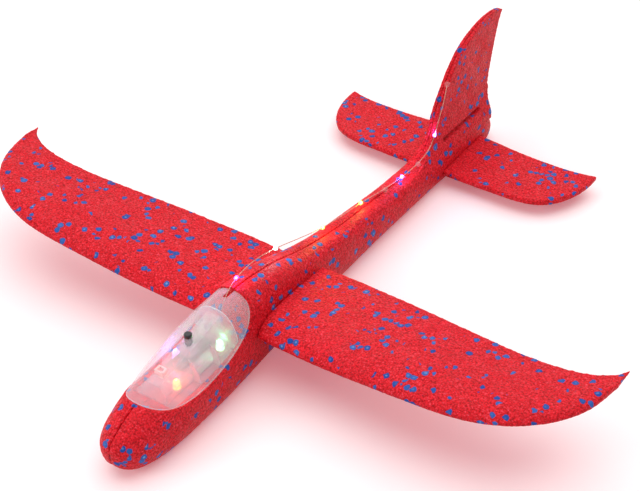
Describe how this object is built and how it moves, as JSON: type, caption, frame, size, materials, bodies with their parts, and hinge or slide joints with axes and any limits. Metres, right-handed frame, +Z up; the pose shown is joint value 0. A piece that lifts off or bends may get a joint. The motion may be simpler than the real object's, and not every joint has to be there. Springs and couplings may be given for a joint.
{
  "type": "foam hand glider",
  "caption": "Moulded foam hand-launched toy glider with bird-like wings, a clear lighted cockpit and a string of small lamps along its spine to the fin.",
  "frame": {"origin": "centre of the overall box in plan, on the flat that the belly rests on", "axes": "+X towards the aircraft's left wing tip, -Y towards the nose, +Z up"},
  "size_m": [0.49, 0.47, 0.1096],
  "materials": {
    "bead_foam": "moulded bead foam",
    "steel": "turned",
    "clear_shell": "clear moulded",
    "frosted_plastic": "frosted",
    "milky_plastic": "frosted",
    "white_plastic": "satin",
    "zinc_screw": "zinc plated",
    "cell_steel": "stamped steel",
    "spring_wire": "nickel plated",
    "board": "solder mask",
    "button_plastic": "gloss",
    "lamp_green": "clear",
    "lamp_orange": "clear",
    "lamp_violet": "clear",
    "enamelled_wire": "clear enamel",
    "bead_magenta": "clear resin",
    "bead_cyan": "clear resin",
    "bead_yellow": "clear resin",
    "bead_amber": "clear resin",
    "bead_rose": "clear resin",
    "bead_blue": "clear resin",
    "clear_glue": "hot-melt"
  },
  "bodies": {
    "airframe": {"fuselage_left": "bead_foam", "fuselage_right": "bead_foam", "nose_weight": "steel", "battery_tub": "milky_plastic", "light_housing": "milky_plastic", "canopy_latch": "milky_plastic", "battery_cell_1": "cell_steel", "battery_cell_2": "cell_steel", "battery_cell_3": "cell_steel", "contact_spring": "spring_wire", "contact_plate": "spring_wire", "circuit_board": "board", "switch_body": "white_plastic", "lamp_green": "lamp_green", "lamp_orange": "lamp_orange", "lamp_violet": "lamp_violet", "light_wire": "enamelled_wire", "light_bead_1": "bead_magenta", "light_bead_2": "bead_cyan", "light_bead_3": "bead_yellow", "light_bead_4": "bead_amber", "light_bead_5": "bead_rose", "light_bead_6": "bead_blue", "glue_dabs": "clear_glue"},
    "left_panel": {"wing_left": "bead_foam"},
    "right_panel": {"wing_right": "bead_foam"},
    "tail_panel": {"tailplane": "bead_foam"},
    "canopy_shell": {"canopy": "clear_shell"},
    "push_button": {"switch_button": "button_plastic"},
    "lid": {"battery_lid": "white_plastic", "lid_screw": "zinc_screw"}
  },
  "joints": [
    {"name": "left_wing_slide", "type": "slide", "parent": "airframe", "child": "left_panel", "axis": [1, 0, 0], "range_m": [0, 0.024]},
    {"name": "right_wing_slide", "type": "slide", "parent": "airframe", "child": "right_panel", "axis": [-1, 0, 0], "range_m": [0, 0.024]},
    {"name": "tailplane_slide", "type": "slide", "parent": "airframe", "child": "tail_panel", "axis": [1, 0, 0], "range_m": [-0.125, 0.125]},
    {"name": "canopy_lift", "type": "slide", "parent": "airframe", "child": "canopy_shell", "axis": [0, 0, 1], "range_m": [0, 0.035]},
    {"name": "button_press", "type": "slide", "parent": "airframe", "child": "push_button", "axis": [0, 0, -1], "range_m": [0, 0.0015], "stiffness_N_per_m": 800},
    {"name": "lid_lift", "type": "slide", "parent": "airframe", "child": "lid", "axis": [0, 0, 1], "range_m": [0, 0.007]}
  ]
}
